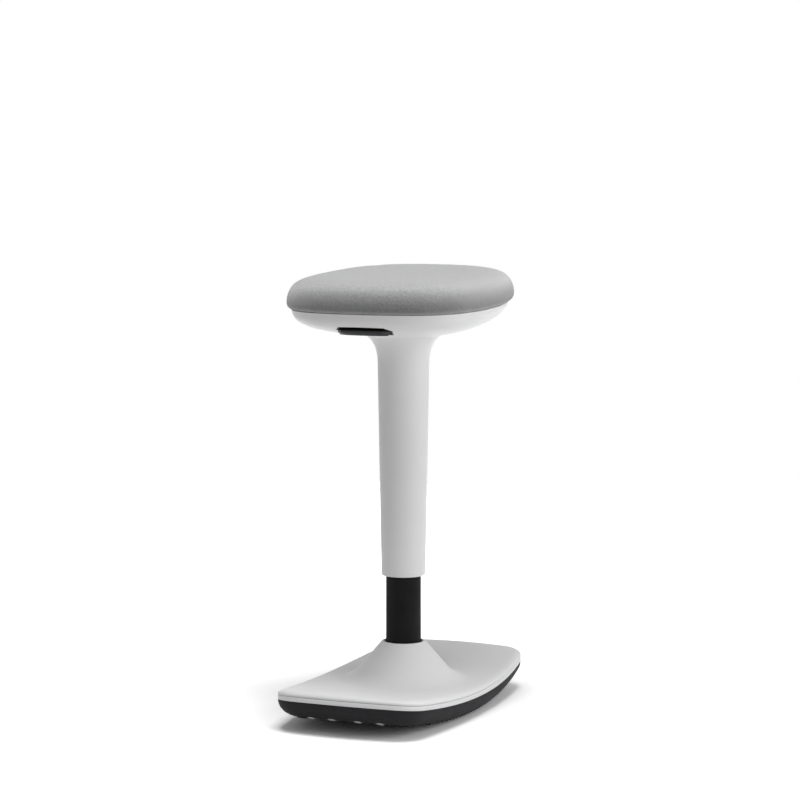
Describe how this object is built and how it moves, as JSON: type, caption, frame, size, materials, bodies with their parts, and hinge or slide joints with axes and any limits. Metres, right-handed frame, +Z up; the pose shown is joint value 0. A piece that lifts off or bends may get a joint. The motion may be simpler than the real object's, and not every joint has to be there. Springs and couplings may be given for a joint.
{
  "type": "perch stool",
  "caption": "Height-adjustable perch stool: padded seat with a raised edge on a swivel gas column, over a long flat base with a curved rocker sole.",
  "frame": {"origin": "point of the floor under the middle of the column", "axes": "+Z up along the column; -Y towards the front of the seat, where the lever is; +X to the right as seen from the rear"},
  "size_m": [0.303, 0.455, 0.6288],
  "materials": {
    "white_plastic": "fine matt moulding",
    "black_rubber": "matt moulded rubber",
    "grey_plastic": "smooth glide plastic",
    "black_plastic": "satin moulding",
    "black_paint": "satin black powder coat",
    "bright_steel": "ground steel",
    "zinc_steel": "zinc plated steel",
    "seat_fabric": "close woven light grey melange"
  },
  "bodies": {
    "base": {"rocker_sole": "black_rubber", "front_glide_1": "grey_plastic", "front_glide_2": "grey_plastic", "front_glide_3": "grey_plastic", "front_glide_4": "grey_plastic", "rear_glide_1": "grey_plastic", "rear_glide_2": "grey_plastic", "rear_glide_3": "grey_plastic", "rear_glide_4": "grey_plastic", "base_rim": "white_plastic", "base_cover": "white_plastic", "base_screw_1": "zinc_steel", "base_screw_2": "zinc_steel", "base_screw_3": "zinc_steel", "base_screw_4": "zinc_steel", "base_screw_5": "zinc_steel", "base_screw_6": "zinc_steel", "ballast_plate": "black_paint", "column_socket": "black_paint", "socket_bolt_1": "zinc_steel", "socket_bolt_2": "zinc_steel", "socket_bolt_3": "zinc_steel", "socket_bolt_4": "zinc_steel", "outer_tube": "black_paint", "column_seal": "black_rubber", "guide_bush": "black_plastic", "thrust_race_lower": "bright_steel"},
    "rod": {"ball_cage": "grey_plastic", "thrust_race_upper": "bright_steel", "piston_rod": "bright_steel", "rod_washer": "zinc_steel", "rod_clip": "bright_steel", "piston": "black_plastic"},
    "seat": {"gas_cylinder": "black_paint", "rod_guide": "black_plastic", "seat_shell": "white_plastic", "seat_pan": "black_plastic", "t_nut_1": "zinc_steel", "t_nut_2": "zinc_steel", "t_nut_3": "zinc_steel", "t_nut_4": "zinc_steel", "pan_bolt_1": "zinc_steel", "pan_bolt_2": "zinc_steel", "pan_bolt_3": "zinc_steel", "pan_bolt_4": "zinc_steel", "shell_screw_1": "zinc_steel", "shell_screw_2": "zinc_steel", "shell_screw_3": "zinc_steel", "shell_screw_4": "zinc_steel", "seat_cushion": "seat_fabric", "seat_bracket": "black_paint", "lever_liner": "black_plastic", "lever_pin": "bright_steel", "pin_clip": "bright_steel", "lever_spring": "bright_steel"},
    "lever": {"lever_paddle": "black_plastic"},
    "valve": {"valve_pin": "bright_steel"}
  },
  "joints": [
    {"name": "swivel", "type": "hinge", "parent": "base", "child": "rod", "pos_m": [0, 0, 0.02], "axis": [0, 0, 1], "continuous": true},
    {"name": "seat_height", "type": "slide", "parent": "rod", "child": "seat", "axis": [0, 0, 1], "range_m": [-0.085, 0.115]},
    {"name": "lever_lift", "type": "hinge", "parent": "seat", "child": "lever", "pos_m": [0, -0.028, 0.5535], "axis": [-1, 0, 0], "range_deg": [0, 4], "stiffness_Nm_per_rad": 6, "springref_deg": -1.72},
    {"name": "valve_press", "type": "slide", "parent": "seat", "child": "valve", "axis": [0, 0, -1], "range_m": [0, 0.002]}
  ],
  "couplings": [
    {"joint": "valve_press", "follows": "lever_lift", "m_per_rad": 0.028}
  ]
}
